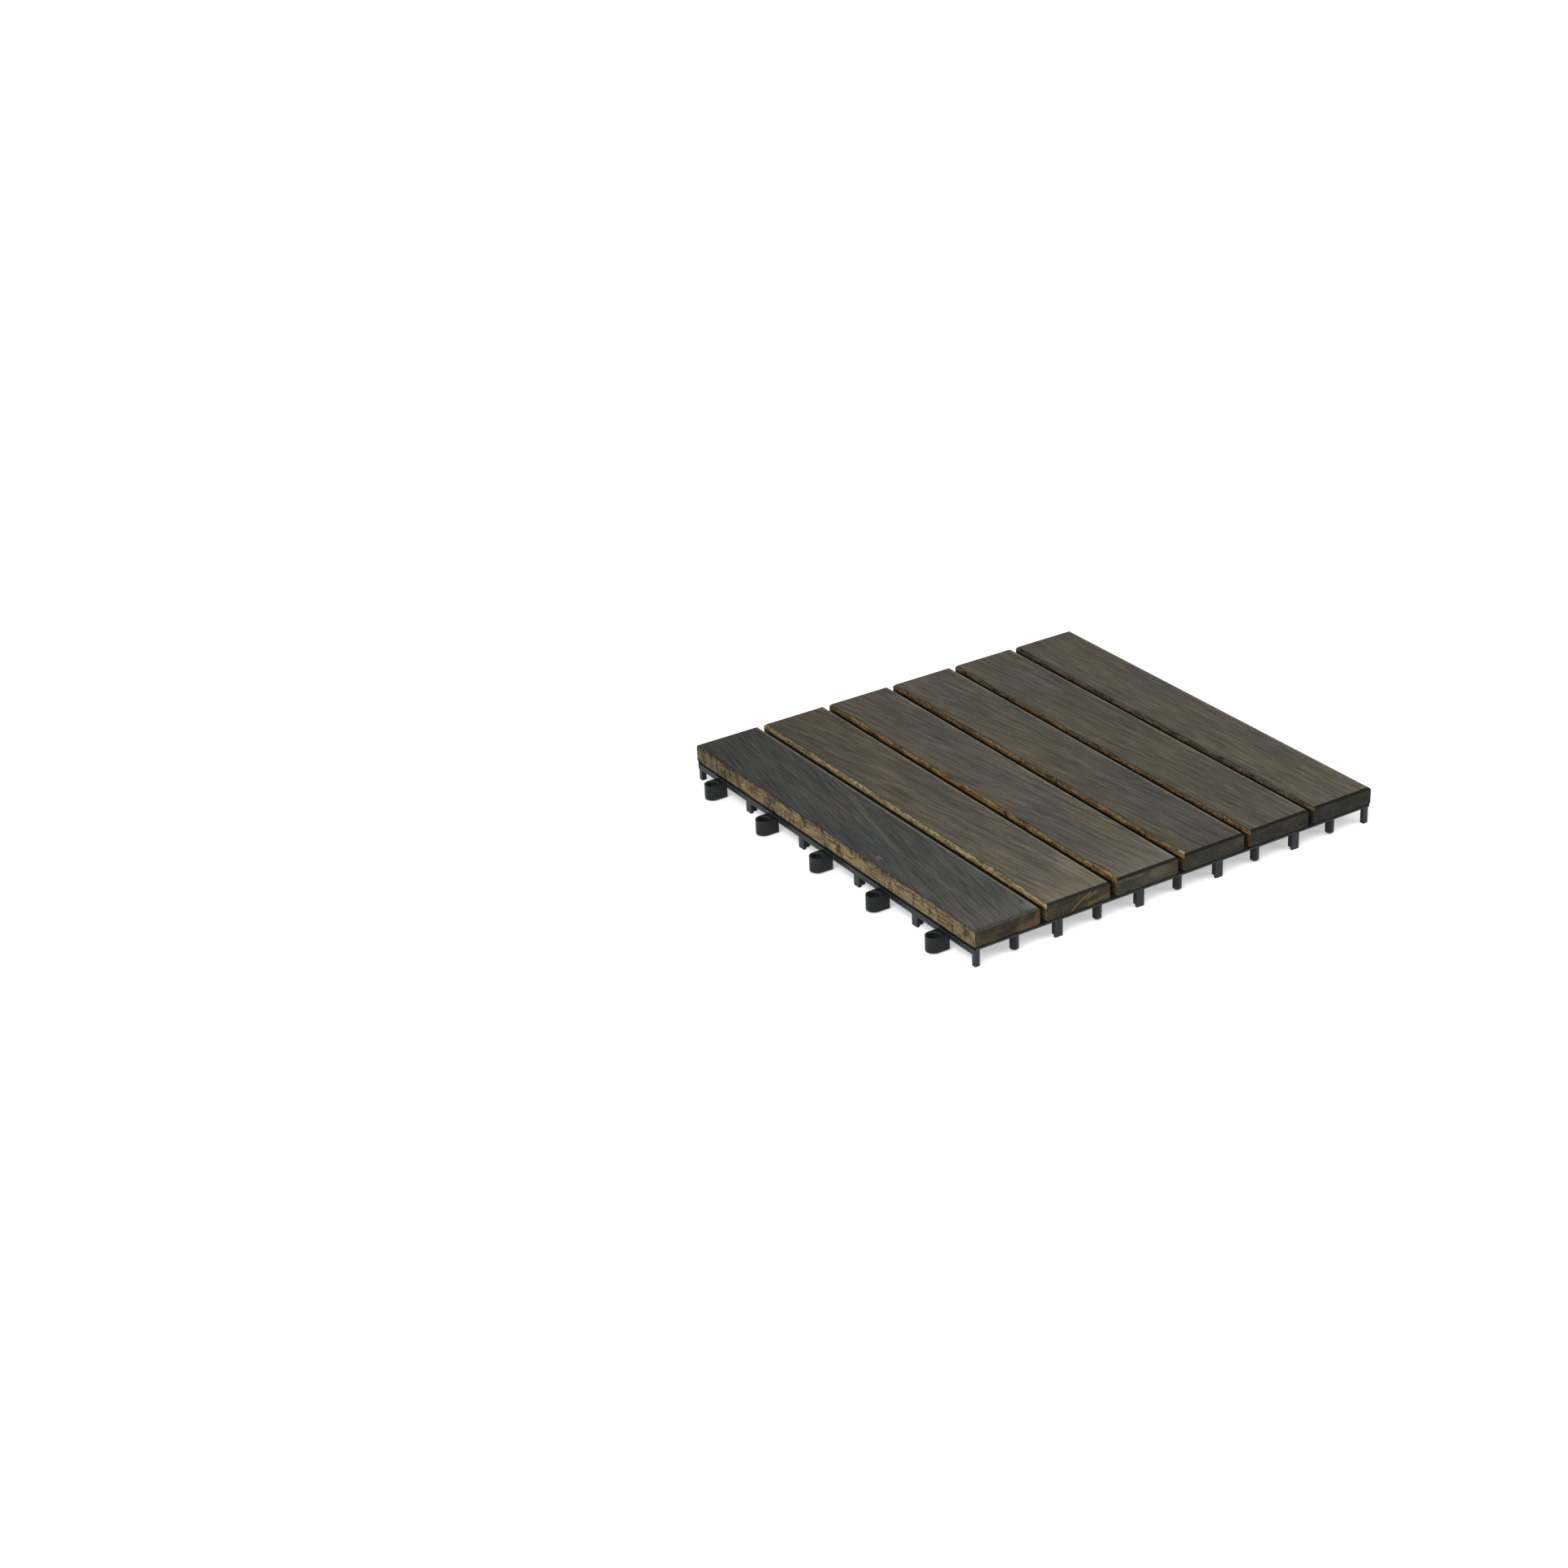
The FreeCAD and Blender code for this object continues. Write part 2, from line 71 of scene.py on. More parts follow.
# Finish of each slat.
# lean: angle of the brushed streaks to the slat's length, in degrees.
# cold and warm: the two tones of the stained top.
# fade: how much darker the far end is. near: how much paler the near end is.
# bare and deep: light and dark tone of the unstained side.
# reach: how far in mm the stain comes over the left edge. smear: share of that side under dark stain.
# drift: how much in mm the border of the stain wanders along the slat.
# end: tone of the cut end. tan: share of it worn to tan. bevel: how dark the bevelled end edge is.
FINISH = [
    dict(lean=-12.7, cold="3e403f", warm="454440", fade=0.30, near=0.14, bare="9d8b6b", deep="463b29",
         reach=0.6, smear=0.60, drift=1.6, end="2f2c25", tan=0.26, bevel=0.35),
    dict(lean=10.5, cold="504d46", warm="5e5546", fade=0.34, near=0.26, bare="ccb88b", deep="6e5a3a",
         reach=-1.1, smear=0.22, drift=0.6, end="322f27", tan=0.22, bevel=0.90),
    dict(lean=10.0, cold="4b4a46", warm="565044", fade=0.10, near=0.30, bare="ae8f5d", deep="4a3822",
         reach=-0.7, smear=0.38, drift=8.0, end="363731", tan=0.26, bevel=0.94),
    dict(lean=8.0, cold="484741", warm="504a3e", fade=-0.08, near=0.00, bare="9b7e58", deep="40301f",
         reach=-0.6, smear=0.42, drift=5.0, end="31312c", tan=0.20, bevel=0.94),
    dict(lean=5.0, cold="474641", warm="4f4a3e", fade=-0.08, near=0.06, bare="9d8059", deep="382c20",
         reach=0.5, smear=0.48, drift=5.0, end="2c2d29", tan=0.14, bevel=0.94),
    dict(lean=2.0, cold="4d4b45", warm="554f42", fade=0.06, near=0.08, bare="85735a", deep="362f25",
         reach=0.0, smear=0.46, drift=4.0, end="2b2c2a", tan=0.10, bevel=0.95),
]

# Single marks that show in the photograph, by slat. Those on the top are placed by X and Y in mm, those on
# the near end by X and Z. A blot has a centre and radii, and a scratch runs from one point to another.
MARKS = [
    [dict(on="top", start=(-109.6, 37.2), stop=(-131.1, -52.8), width=2.4, bow=1.5,
          amount=0.13, tone="807d74"),
     dict(on="top", centre=(-143.8, -45.9), radii=(1.6, 2.6), amount=0.28, tone="7d7b73"),
     dict(on="top", centre=(-107.0, -145.0), radii=(4.5, 5.0), amount=0.28, tone="7a7b80"),
     dict(on="end", centre=(-105.9, 20.2), radii=(1.8, 1.7), lobed=True, soft=0.25,
          amount=0.46, tone="744b34"),
     dict(on="end", centre=(-106.6, 15.9), radii=(3.2, 2.4), lobed=True, amount=0.42, tone="704c34"),
     dict(on="end", centre=(-113.0, 15.2), radii=(7.0, 2.4), lobed=True, soft=0.6,
          amount=0.26, tone="75593a")],
    [dict(on="top", centre=(-53.8, -106.5), radii=(5.0, 7.0), soft=0.6, amount=0.22, tone="948a7d"),
     dict(on="top", centre=(-60.2, -121.0), radii=(6.0, 9.0), soft=0.6, amount=0.18, tone="948a7d"),
     dict(on="end", start=(-81.3, 14.2), stop=(-66.8, 22.0), width=0.6, bow=-0.6, amount=0.62, tone="8c7449"),
     dict(on="end", start=(-70.5, 18.1), stop=(-62.9, 21.4), width=0.6, bow=-0.2, amount=0.55, tone="84704a"),
     dict(on="end", start=(-70.0, 14.9), stop=(-53.6, 16.6), width=1.2, bow=0.5, amount=0.40, tone="7c6444")],
    [dict(on="end", start=(-42.6, 22.0), stop=(-27.4, 21.4), width=0.7, bow=0.4, amount=0.45, tone="7d6744"),
     dict(on="end", centre=(-15.7, 19.6), radii=(8.0, 3.0), amount=0.40, tone="68634f")],
    [dict(on="top", centre=(3.4, -146.0), radii=(0.8, 2.6), soft=0.1, amount=0.85, tone="a59c86")],
    [],
    [],
]

# Runs of dark stain on the open left side, as the photograph shows them: centre by Y and Z, and radii, in mm.
STAINS = [
    dict(centre=(111.0, 22.4), radii=(9.0, 1.6), amount=0.80),
    dict(centre=(117.0, 16.0), radii=(4.0, 3.0), amount=0.60),
    dict(centre=(102.0, 20.0), radii=(2.5, 3.5), amount=0.65),
    dict(centre=(85.0, 17.8), radii=(6.0, 2.0), amount=0.50),
    dict(centre=(64.0, 19.5), radii=(3.0, 4.0), amount=0.65),
    dict(centre=(42.0, 22.6), radii=(4.0, 1.4), amount=0.60),
    dict(centre=(-60.0, 22.0), radii=(6.0, 1.4), amount=0.50),
    dict(centre=(-142.5, 19.1), radii=(2.4, 1.8), amount=0.75),
]

# Stage and camera, in metres and degrees. The camera was fitted to the corners of the tile in the photograph,
# whose width, focal length and optical centre are in its own pixels.
FLOOR_SIDE = 12
FLOOR_WHITE = (0.8, 0.8, 0.8, 1)
NEAR_GLOW = 0.45
FAR_GLOW = 0.62
NEAR_REACH = 0.6
FAR_REACH = 2.4
WORLD_LIGHT = 0.5
PHOTO_WIDTH = 1932
PHOTO_FOCAL = 3730.8
PHOTO_CENTRE = (1050, 800)
SENSOR_WIDTH = 36.0
CAMERA_PLACE = (-1.02449, -1.35537, 0.86225)
CAMERA_AZIMUTH = 33.4684
CAMERA_TILT = -24.0245
CAMERA_ROLL = -1.4938


# Helpers that keep the node trees short.
def linear(text):
    """Colour written as six hex digits, turned to linear light."""
    parts = [int(text[i:i + 2], 16) / 255 for i in (0, 2, 4)]
    return tuple(p / 12.92 if p <= 0.04045 else ((p + 0.055) / 1.055) ** 2.4 for p in parts) + (1.0,)


class Tree:
    """Node tree of one material, with one-line calls for the nodes that the finishes use."""

    def __init__(self, name):
        self.material = bpy.data.materials.new(name)
        self.material.use_nodes = True
        self.tree = self.material.node_tree
        self.shader = self.tree.nodes["Principled BSDF"]

    def put(self, value, socket):
        """Links an output to the socket, or sets it to a number, a vector or a colour's six digits."""
        if isinstance(value, bpy.types.NodeSocket):
            self.tree.links.new(value, socket)
        elif isinstance(value, str):
            socket.default_value = linear(value)
        elif value is not None:
            socket.default_value = value

    def node(self, kind, **settings):
        made = self.tree.nodes.new("ShaderNode" + kind)
        for word, value in settings.items():
            setattr(made, word, value)
        return made

    def place(self):
        """Place on the part in millimetres, in the row frame."""
        return self.map(self.node("TexCoord").outputs["Object"], scale=(MM, MM, MM))

    def normal(self):
        """Way that a face looks, as X, Y and Z."""
        return self.split(self.node("TexCoord").outputs["Normal"])

    def split(self, vector):
        made = self.node("SeparateXYZ")
        self.put(vector, made.inputs[0])
        return made.outputs

    def grey(self, value):
        made = self.node("CombineXYZ")
        for socket in made.inputs:
            self.put(value, socket)
        return made.outputs[0]

    def map(self, vector, scale=(1, 1, 1), turn=(0, 0, 0), shift=(0, 0, 0)):
        made = self.node("Mapping")
        self.put(vector, made.inputs["Vector"])
        self.put(shift, made.inputs["Location"])
        self.put(turn, made.inputs["Rotation"])
        self.put(scale, made.inputs["Scale"])
        return made.outputs[0]

    def noise(self, place, per_mm, detail=4.0, rough=0.55, distort=0.0):
        """Noise with so many features in a millimetre, the same all ways or given for X, Y and Z."""
        scale = per_mm if isinstance(per_mm, tuple) else (per_mm, per_mm, per_mm)
        made = self.node("TexNoise")
        self.put(self.map(place, scale=scale), made.inputs["Vector"])
        self.put(1.0, made.inputs["Scale"])
        self.put(detail, made.inputs["Detail"])
        self.put(rough, made.inputs["Roughness"])
        self.put(distort, made.inputs["Distortion"])
        return made.outputs["Fac"]

    def math(self, kind, first, second=None):
        made = self.node("Math", operation=kind)
        self.put(first, made.inputs[0])
        self.put(second, made.inputs[1])
        return made.outputs[0]

    def plus(self, first, second):
        return self.math("ADD", first, second)

    def minus(self, first, second):
        return self.math("SUBTRACT", first, second)

    def times(self, first, second):
        return self.math("MULTIPLY", first, second)

    def over(self, first, second):
        return self.math("DIVIDE", first, second)

    def larger(self, first, second):
        return self.math("MAXIMUM", first, second)

    def positive(self, value):
        return self.math("ABSOLUTE", value)

    def span(self, value, low, high, to_low=0.0, to_high=1.0):
        """Linear from one span to another, clamped; with low over high it runs the other way."""
        made = self.node("MapRange", clamp=True)
        for word, number in (("From Min", low), ("From Max", high), ("To Min", to_low), ("To Max", to_high)):
            self.put(number, made.inputs[word])
        self.put(value, made.inputs["Value"])
        return made.outputs[0]

    def mix(self, share, first, second, kind="MIX"):
        made = self.node("Mix", data_type="RGBA", blend_type=kind, clamp_factor=True)
        self.put(share, made.inputs[0])
        self.put(first, made.inputs[6])
        self.put(second, made.inputs[7])
        return made.outputs[2]

    def darken(self, colour, share, factor):
        """Multiplies the colour by the factor where the share is 1."""
        level = self.minus(1.0, self.times(share, 1.0 - factor))
        return self.mix(1.0, colour, self.grey(level), "MULTIPLY")

    def sway(self, colour, value, amount):
        """Lightens and darkens the colour around its own level by a noise value."""
        level = self.plus(1.0, self.times(self.minus(value, 0.5), 2.0 * amount))
        return self.mix(1.0, colour, self.grey(level), "MULTIPLY")

    def surface(self, colour, rough, specular):
        self.put(colour, self.shader.inputs["Base Color"])
        self.put(rough, self.shader.inputs["Roughness"])
        self.put(specular, self.shader.inputs["Specular IOR Level"])

    def bump(self, height, strength, distance, normal=None):
        """Bump of so many metres, on a normal other than the real one where it is given."""
        made = self.node("Bump")
        self.put(normal, made.inputs["Normal"])
        self.put(strength, made.inputs["Strength"])
        self.put(distance, made.inputs["Distance"])
        self.put(height, made.inputs["Height"])
        self.put(made.outputs[0], self.shader.inputs["Normal"])


# Wood: one material for each slat.
class Slat:
    """Measures on one slat that its finishes share: places in mm, the way a face looks, common noises."""

    def __init__(self, t, index):
        spot = t.place()
        self.x, self.y, self.z = t.split(spot)
        self.place = t.map(spot, shift=(37.0 * index, 61.0 * index, 0))
        self.across = t.minus(self.x, SLAT_WIDTH / 2 - HALF + index * SLAT_PITCH)
        self.depth = t.minus(WOOD_TOP, self.z)
        self.normal = t.normal()
        self.top = t.span(self.normal[2], 0.70, 0.90)
        self.end = t.span(t.positive(self.normal[1]), 0.80, 0.90)
        self.upright = t.span(t.positive(self.normal[2]), 0.30, 0.10)
        self.grain = t.noise(self.place, (0.6, 0.25, 0.6), 3.0)
        self.scallop = t.noise(self.place, (0.05, 0.30, 0.05), 5.0, 0.75)


def streaks(t, place, lean, across, along, detail=4.0):
    """Noise drawn out along a line that leans from the slat's length; features are per mm."""
    turned = t.map(place, turn=(0, 0, math.radians(-lean)))
    return t.noise(turned, (across, along, across), detail, 0.62)


def blot(t, a, b, centre, radii, ragged, soft):
    """Share inside a ragged ellipse on two coordinates in mm."""
    first = t.over(t.minus(a, centre[0]), radii[0])
    second = t.over(t.minus(b, centre[1]), radii[1])
    reach = t.math("SQRT", t.plus(t.times(first, first), t.times(second, second)))
    reach = t.plus(reach, t.times(t.minus(ragged, 0.5), 1.8))
    return t.span(reach, 1.0 + soft, 1.0 - soft)


def scratch(t, a, b, start, stop, width, bow):
    """Share on a scratch between two points, bowed to one side by so many mm."""
    run = (stop[0] - start[0], stop[1] - start[1])
    length = math.hypot(*run)
    way = (run[0] / length, run[1] / length)
    from_a = t.minus(a, start[0])
    from_b = t.minus(b, start[1])
    along = t.over(t.plus(t.times(from_a, way[0]), t.times(from_b, way[1])), length)
    curve = t.times(t.times(along, t.minus(1.0, along)), 4.0 * bow)
    off = t.minus(t.times(from_a, way[1]), t.times(from_b, way[0]))
    off = t.positive(t.minus(off, curve))
    inside = t.times(t.span(along, 0.0, 0.08), t.span(along, 1.0, 0.92))
    return t.times(inside, t.span(off, width, width * 0.3))


def stained_top(t, slat, finish, fine):
    """Brushed stain: two tones in long clouds, soft streaks, fine grain, a paler near end and pale grains."""
    lean = finish["lean"]
    tint = t.noise(slat.place, (0.030, 0.012, 0.030), 3.0, 0.55, 0.4)
    colour = t.mix(t.span(tint, 0.34, 0.66), finish["cold"], finish["warm"])
    colour = t.sway(colour, streaks(t, slat.place, lean, 0.28, 0.016), 0.30)
    colour = t.sway(colour, fine, 1.15)
    colour = t.sway(colour, streaks(t, slat.place, lean * 0.7, 2.2, 0.05, 3.0), 1.0)
    colour = t.sway(colour, streaks(t, slat.place, lean * 0.4, 0.9, 0.007, 3.0), 0.55)
    colour = t.sway(colour, t.noise(slat.place, (1.3, 1.0, 1.3), 2.0), 0.45)
    colour = t.sway(colour, t.noise(slat.place, (0.07, 0.035, 0.07), 3.0), 0.20)
    colour = t.darken(colour, t.span(slat.y, -90.0, HALF), 1.0 - finish["fade"])
    near = t.times(t.span(slat.y, -108.0, -HALF), finish["near"])
    colour = t.mix(t.times(near, t.span(fine, 0.30, 0.60)), colour, PALE_END)
    grains = t.noise(slat.place, (0.9, 0.7, 0.9), 1.0)
    return t.mix(t.times(t.span(grains, 0.78, 0.85), 0.5), colour, PALE_GRAIN)


def bare_side(t, slat, finish):
    """Unstained wood of a long side: straight grain, dark pores and runs of stain, darker at the far end."""
    grain = t.noise(slat.place, (0.9, 0.07, 0.9), 4.0, 0.65)
    colour = t.mix(t.span(grain, 0.34, 0.60), finish["deep"], finish["bare"])
    flecks = t.noise(slat.place, (0.70, 0.40, 0.70), 5.0, 0.85)
    colour = t.sway(colour, flecks, 1.6)
    colour = t.sway(colour, t.noise(slat.place, (2.2, 0.30, 2.2), 3.0, 0.7), 0.9)
    high = t.times(t.span(slat.depth, 6.0, 0.0), 0.09)
    colour = t.darken(colour, t.span(t.plus(flecks, high), 0.54, 0.60), 0.30)
    runs = t.noise(slat.place, (0.06, 0.13, 0.05), 5.0, 0.75)
    runs = t.plus(runs, t.times(t.minus(flecks, 0.5), 0.25))
    low = 0.67 - 0.27 * finish["smear"]
    colour = t.darken(colour, t.span(runs, low, low + 0.09), 0.34)
    return t.darken(colour, t.span(slat.y, 40.0, HALF), 0.72)


def stain_border(t, colour, slat, finish):
    """Ragged border between the stained top and the bare sides and underside, with a rubbed right edge and a
    paler line just inside it.
    """
    drift = t.noise(slat.place, (0.0, 0.016, 0.0), 2.0)
    ragged = t.plus(t.times(t.minus(slat.scallop, 0.5), 3.4), t.times(t.minus(drift, 0.5), finish["drift"]))
    left = t.plus(t.minus(slat.depth, t.plus(slat.across, SLAT_WIDTH / 2)), ragged)
    right = t.plus(t.plus(slat.depth, t.minus(slat.across, SLAT_WIDTH / 2)), ragged)
    reach = finish["reach"]
    colour = t.darken(colour, t.span(left, reach - 1.3, reach - 0.3), 0.52)
    # A paler line along the top, just inside the right edge.
    ridge = t.times(t.span(t.plus(right, slat.grain), -2.5, -1.6), slat.top)
    colour = t.mix(t.times(ridge, 0.36), colour, PALE_RIDGE_WOOD)
    bare = t.larger(t.span(left, reach - 0.2, reach + 0.2), t.span(right, 0.4, 0.9))
    bare = t.larger(bare, t.span(slat.normal[2], -0.5, -0.8))
    return t.mix(bare, colour, bare_side(t, slat, finish))


def gap_painted_shade(t, slat, index):
    """Share of painted shade, black, low on the sides that face another slat, thinner near the open ends."""
    low = t.span(t.plus(slat.depth, slat.grain), GAP_SHADE_DEPTH - 0.4, GAP_SHADE_DEPTH + 0.4)
    share = t.times(low, slat.upright)
    share = t.times(share, t.span(t.positive(slat.y), HALF - 0.5, HALF - 6.0, 0.72, 1.0))
    if index == 0:
        share = t.times(share, t.span(slat.across, -1.0, 1.0))
    if index == SLATS - 1:
        share = t.times(share, t.span(slat.across, 1.0, -1.0))
    return share


def cut_end(t, slat, index, finish):
    """End grain: dark stain over fine rings round a heart outside the slat, worn to tan in ragged patches."""
    heart_across = 9.0 * index - 14.0
    heart_height = 22.0 + 9.0 * (index % 3)
    warp = t.noise(slat.place, 0.07, 2.0)
    across = t.math("POWER", t.minus(slat.across, heart_across), 2.0)
    down = t.math("POWER", t.plus(slat.depth, heart_height), 2.0)
    radius = t.math("SQRT", t.plus(across, down))
    wave = t.math("SINE", t.plus(t.times(radius, 4.6), t.times(warp, 26.0)))
    rough = t.noise(slat.place, (1.0, 0.3, 1.3), 5.0, 0.9)
    colour = t.sway(finish["end"], rough, 2.1)
    colour = t.sway(colour, t.plus(0.5, t.times(wave, 0.5)), 0.16)
    worn = t.noise(slat.place, (0.07, 0.05, 0.13), 6.0, 0.72)
    share = t.times(t.span(worn, 0.47, 0.66), finish["tan"])
    veins = t.plus(rough, t.times(wave, 0.12))
    share = t.times(share, t.span(veins, 0.36, 0.60, 0.35, 1.3))
    return t.mix(share, colour, TAN_WOOD)


def marks(t, colour, slat, index):
    """Lays the single marks of this slat over its colour."""
    lobes = t.noise(slat.place, 0.30, 3.0, 0.6)
    for mark in MARKS[index]:
        on_top = mark["on"] == "top"
        other = slat.y if on_top else slat.z
        if "radii" in mark:
            ragged = lobes if "lobed" in mark else slat.scallop
            share = blot(t, slat.x, other, mark["centre"], mark["radii"], ragged, mark.get("soft", 0.3))
        else:
            share = scratch(t, slat.x, other, mark["start"], mark["stop"], mark["width"], mark["bow"])
        share = t.times(share, slat.top if on_top else slat.end)
        colour = t.mix(t.times(share, mark["amount"]), colour, mark["tone"])
    return colour


def stains(t, colour, slat):
    """Lays the runs of dark stain over the side that looks to the left."""
    lobes = t.noise(slat.place, (0.45, 0.45, 0.30), 4.0, 0.75)
    side = t.span(slat.normal[0], -0.70, -0.90)
    for stain in STAINS:
        share = t.times(blot(t, slat.y, slat.z, stain["centre"], stain["radii"], lobes, 0.5), side)
        colour = t.mix(t.times(share, stain["amount"]), colour, STAIN_RUN)
    return colour


def wood(index):
    """Dark-stained hardwood of one slat, brushed and rubbed, with bare sides, painted shade low in the gaps
    and a dark line of painted shade at its foot.
    """
    finish = FINISH[index]
    t = Tree("stained_wood_%d" % (index + 1))
    slat = Slat(t, index)
    fine = streaks(t, slat.place, finish["lean"], 1.25, 0.03)
    colour = stained_top(t, slat, finish, fine)
    colour = stain_border(t, colour, slat, finish)
    # Painted shade, black, deep in the gaps between the slats.
    colour = t.darken(colour, gap_painted_shade(t, slat, index), 0.03)
    colour = t.mix(slat.end, colour, cut_end(t, slat, index, finish))
    # Painted shade: a dark line along the foot of the upright faces, where the slat meets the base.
    foot_shade = t.span(slat.depth, SLAT_THICKNESS - 0.9, SLAT_THICKNESS - 0.4)
    colour = t.darken(colour, t.times(foot_shade, slat.upright), 0.25)
    bevel = t.times(t.span(t.positive(slat.normal[1]), 0.30, 0.45), t.span(slat.normal[2], 0.30, 0.45))
    colour = t.mix(t.times(bevel, finish["bevel"]), colour, BEVEL_STAIN)
    colour = marks(t, colour, slat, index)
    if index == 0:
        colour = stains(t, colour, slat)
    t.surface(colour, 0.82, 0.08)
    t.bump(fine, 0.35, 0.0004)
    return t.material


# Plastic and steel.
def rounded(t, radius):
    """Normal that is rounded over the edges within this radius in metres."""
    soft = t.node("Bevel", samples=4)
    t.put(radius, soft.inputs["Radius"])
    return soft.outputs[0]


def rims(t, radius):
    """Share along the edges, found from how a rounded normal turns away from the real one."""
    turn = t.node("VectorMath", operation="DOT_PRODUCT")
    t.put(rounded(t, radius), turn.inputs[0])
    t.put(t.node("NewGeometry").outputs["Normal"], turn.inputs[1])
    return t.span(turn.outputs["Value"], 0.99, 0.90)


def plastic():
    """Satin black moulding: painted light on the rail faces; painted shade on the loop tops, along a parting
    line on the rails and in a black line under the slats; edges paled by wear and painted highlight.
    """
    t = Tree("base_plastic")
    place = t.place()
    x, y, z = t.split(place)
    loop_side = t.span(t.larger(t.minus(0.0, x), y), BASE_HALF - 0.4, BASE_HALF - 0.2)
    peg_side = t.span(t.larger(x, t.minus(0.0, y)), BASE_HALF - 0.4, BASE_HALF - 0.2)
    # Painted shadow: a black line on the base just under the slats.
    shade_by_loops = t.times(loop_side, t.span(z, SHADE_LINE_BY_LOOPS - 0.1, SHADE_LINE_BY_LOOPS + 0.1))
    shade_by_pegs = t.times(peg_side, t.span(z, SHADE_LINE_BY_PEGS - 0.1, SHADE_LINE_BY_PEGS + 0.1))
    shade_line = t.larger(shade_by_loops, shade_by_pegs)
    reach = t.larger(t.positive(x), t.positive(y))
    within = t.span(reach, BASE_HALF + 0.4, BASE_HALF + 0.1)
    # The parting line is painted shade: a dark line along the rails for a small groove that the mesh does not
    # have.
    line = t.times(loop_side, t.span(t.positive(t.minus(z, PARTING_LINE)), 0.35, 0.20))
    line = t.times(line, within)
    # Painted shade: the upward faces of the loops are darker.
    loop_tops_shade = t.times(t.span(reach, BASE_HALF + 0.7, BASE_HALF + 1.0), t.span(t.normal()[2], 0.70, 0.90))

    grime = t.noise(place, 0.06, 4.0, 0.6)
    dust = t.noise(place, 0.45, 4.0, 0.7)
    # Painted light: the outer faces of the rails get a lighter, lit copy of the plastic colour.
    side = t.times(t.larger(loop_side, peg_side), within)
    colour = t.mix(side, PLASTIC, PLASTIC_LIT_SIDE)
    colour = t.darken(colour, loop_tops_shade, 0.55)
    colour = t.sway(t.sway(colour, grime, 0.5), dust, 0.5)
    # Paler rims along the edges: partly wear, partly a painted highlight of rounded edges.
    worn = t.times(rims(t, 0.0006), t.span(dust, 0.30, 0.60, 0.4, 1.0))
    colour = t.mix(t.times(worn, 0.55), colour, RUBBED_AND_HIGHLIT_PLASTIC)
    # Painted shade: the parting line darker, and the black painted shadow line under the slats.
    colour = t.darken(t.darken(colour, line, 0.45), shade_line, 0.03)
    dull = t.plus(t.span(dust, 0.30, 0.70, 0.28, 0.44), t.times(shade_line, 0.5))
    t.surface(colour, dull, 0.12)
    t.bump(t.noise(place, 0.9, 2.0), 0.12, 0.0002, rounded(t, 0.0003))
    return t.material


def steel():
    """Zinc-plated screws: cloudy plating, brushed rings from turning, dull spots."""
    t = Tree("screw_steel")
    place = t.place()
    cloud = t.noise(place, 0.26, 4.0, 0.6)
    spots = t.noise(place, 1.5, 2.0)
    colour = t.mix(t.span(cloud, 0.35, 0.65), *ZINC)
    colour = t.mix(t.times(t.span(spots, 0.62, 0.70), 0.5), colour, ZINC_SPOT)
    t.surface(colour, t.span(cloud, 0.30, 0.70, 0.28, 0.48), None)
    t.put(1.0, t.shader.inputs["Metallic"])
    t.bump(t.noise(place, (0.3, 0.3, 5.0), 2.0), 0.15, 0.0001)
    return t.material


def paint(name, material):
    node = frame["nodes"][name]
    node.data.materials.clear()
    node.data.materials.append(material)


# Stage: pale floor, white for the camera, and soft lamps.
def seen_rays(tree):
    """1 for camera, glossy and transmission rays, which should meet a white surrounding."""
    path = tree.nodes.new("ShaderNodeLightPath")
    share = path.outputs["Is Camera Ray"]
    for kind in ("Is Glossy Ray", "Is Transmission Ray"):
        both = tree.nodes.new("ShaderNodeMath")
        both.operation = "MAXIMUM"
        tree.links.new(share, both.inputs[0])
        tree.links.new(path.outputs[kind], both.inputs[1])
        share = both.outputs[0]
    return share


def floor():
    """White floor that keeps the tile's shadow. Its glow, for the camera and reflections, rises outwards."""
    bpy.ops.mesh.primitive_plane_add(size=FLOOR_SIDE, location=(0, 0, 0))
    plane = bpy.context.object
    plane.name = "floor"
    t = Tree("floor")
    t.surface(FLOOR_WHITE, 0.9, None)
    t.put("ffffff", t.shader.inputs["Emission Color"])
    reach = t.node("VectorMath", operation="LENGTH")
    t.put(t.node("TexCoord").outputs["Object"], reach.inputs[0])
    glow = t.span(reach.outputs["Value"], NEAR_REACH, FAR_REACH, NEAR_GLOW, FAR_GLOW)
    t.put(t.times(seen_rays(t.tree), glow), t.shader.inputs["Emission Strength"])
    plane.data.materials.append(t.material)


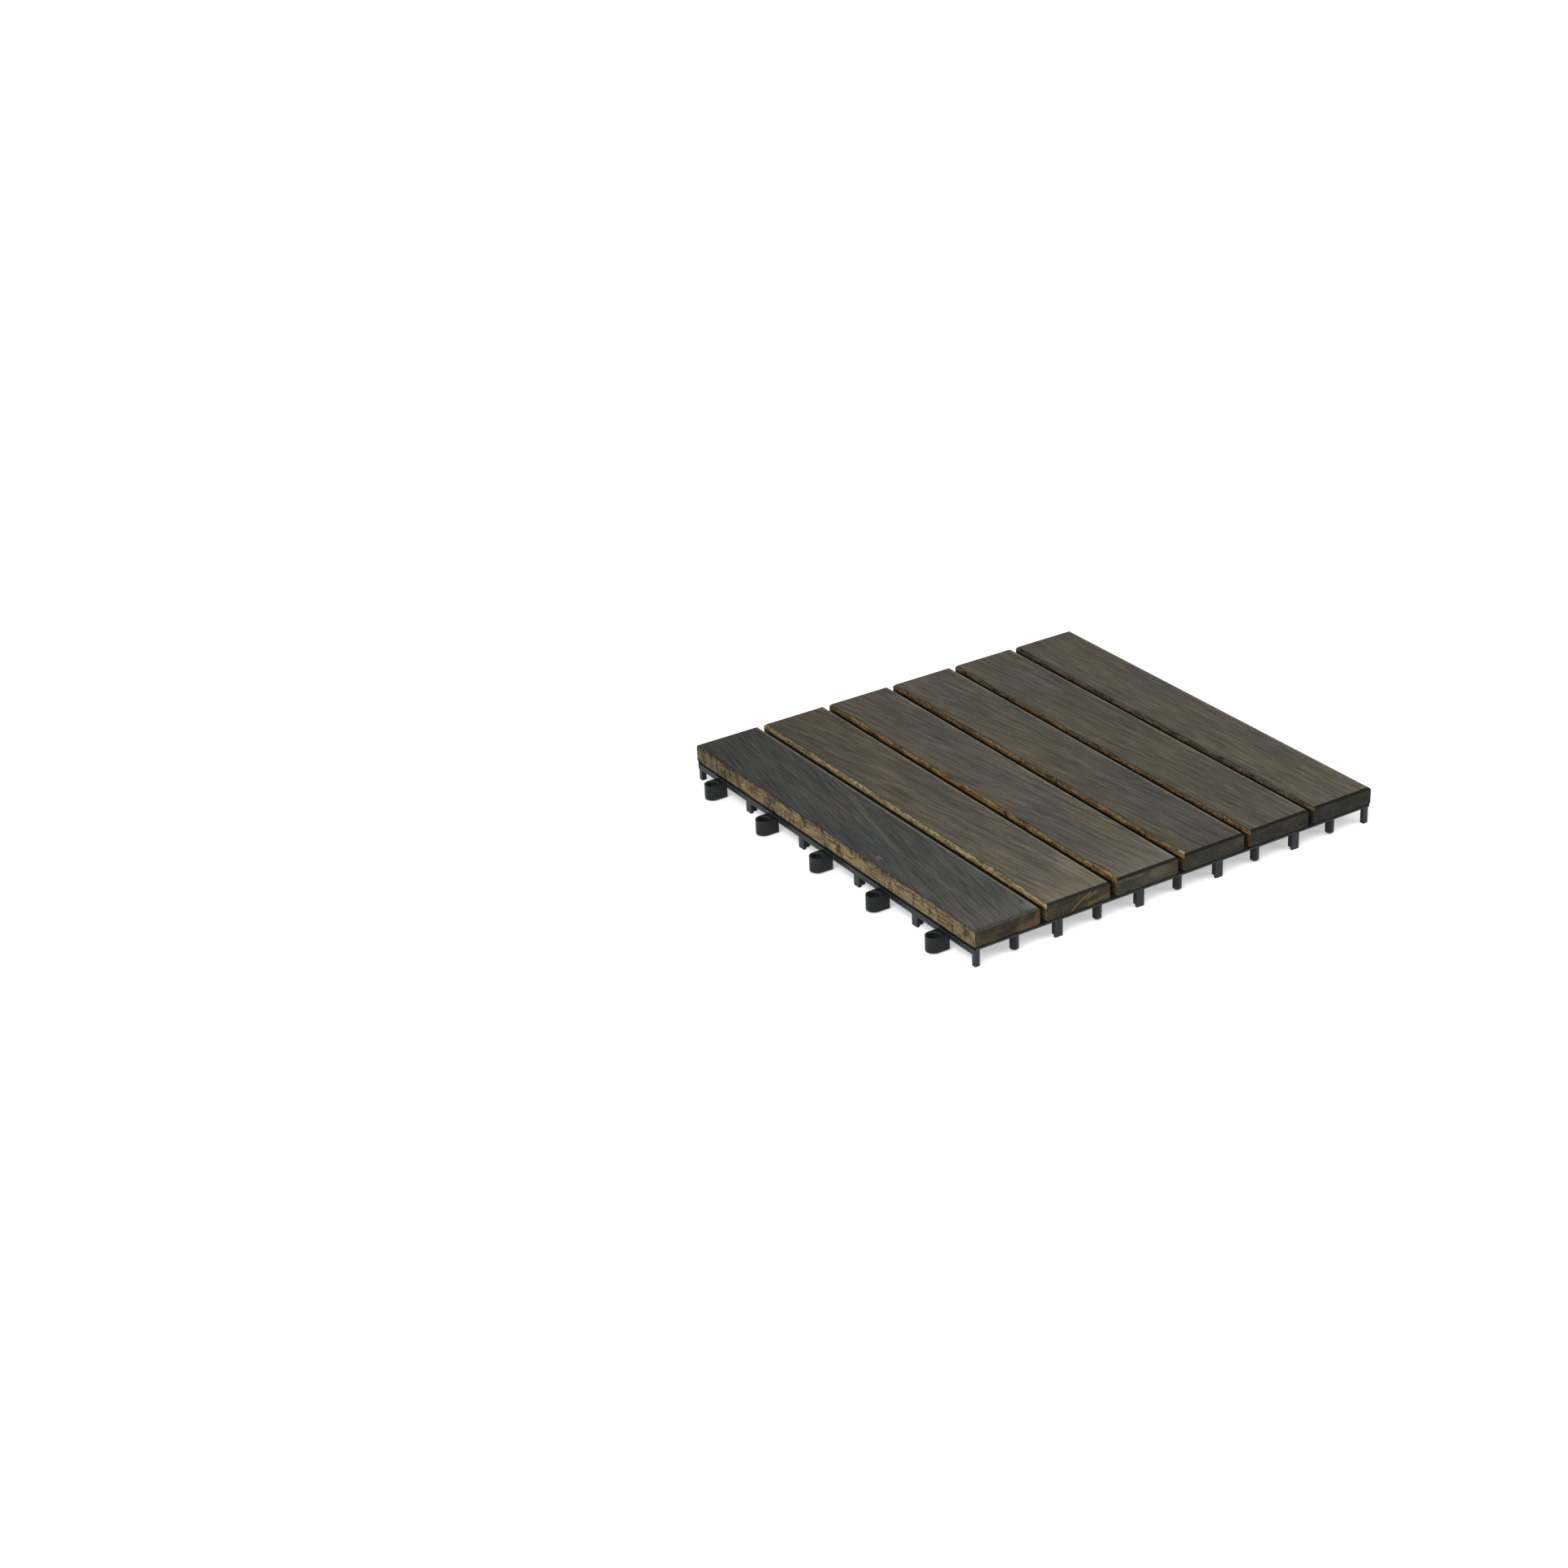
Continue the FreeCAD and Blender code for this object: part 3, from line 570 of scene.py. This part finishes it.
def world():
    """Soft white surrounding, seen as white and lighting the tile at a lower strength."""
    scene = bpy.context.scene
    scene.world = bpy.data.worlds.new("studio")
    scene.world.use_nodes = True
    tree = scene.world.node_tree
    tree.nodes.clear()
    soft = tree.nodes.new("ShaderNodeBackground")
    soft.inputs["Color"].default_value = (1, 1, 1, 1)
    strength = tree.nodes.new("ShaderNodeMapRange")
    strength.inputs["To Min"].default_value = WORLD_LIGHT
    strength.inputs["To Max"].default_value = 1.0
    tree.links.new(seen_rays(tree), strength.inputs["Value"])
    tree.links.new(strength.outputs[0], soft.inputs["Strength"])
    out = tree.nodes.new("ShaderNodeOutputWorld")
    tree.links.new(soft.outputs[0], out.inputs[0])


def lamp(name, place, width, height, watts):
    """Rectangular lamp, in metres, that looks at the middle of the tile."""
    data = bpy.data.lights.new(name, "AREA")
    data.shape = "RECTANGLE"
    data.size = width
    data.size_y = height
    data.energy = watts
    light = bpy.data.objects.new(name, data)
    bpy.context.collection.objects.link(light)
    light.location = place
    light.rotation_euler = (-Vector(place)).to_track_quat("-Z", "Y").to_euler()


def camera():
    """Camera at the photograph's place and angle, shifted to its optical centre."""
    data = bpy.data.cameras.new("camera")
    data.sensor_width = SENSOR_WIDTH
    data.lens = PHOTO_FOCAL / PHOTO_WIDTH * SENSOR_WIDTH
    data.shift_x = (PHOTO_WIDTH / 2 - PHOTO_CENTRE[0]) / PHOTO_WIDTH
    data.shift_y = (PHOTO_CENTRE[1] - PHOTO_WIDTH / 2) / PHOTO_WIDTH
    data.clip_start = 0.05
    data.clip_end = 50
    view = bpy.data.objects.new("camera", data)
    bpy.context.collection.objects.link(view)
    azimuth = Matrix.Rotation(math.radians(-CAMERA_AZIMUTH), 4, "Z")
    tilt = Matrix.Rotation(math.radians(90 + CAMERA_TILT), 4, "X")
    roll = Matrix.Rotation(math.radians(CAMERA_ROLL), 4, "Z")
    view.matrix_world = Matrix.Translation(CAMERA_PLACE) @ azimuth @ tilt @ roll
    bpy.context.scene.camera = view


for index in range(SLATS):
    paint("slat_%d" % (index + 1), wood(index))
paint("base", plastic())
paint("screws", steel())
floor()
world()
lamp("key", (-1.4, -0.9, 1.9), 1.4, 1.4, 40)
lamp("fill", (1.6, -1.6, 1.4), 1.6, 1.2, 18)
camera()
bpy.context.scene.view_settings.view_transform = "Standard"
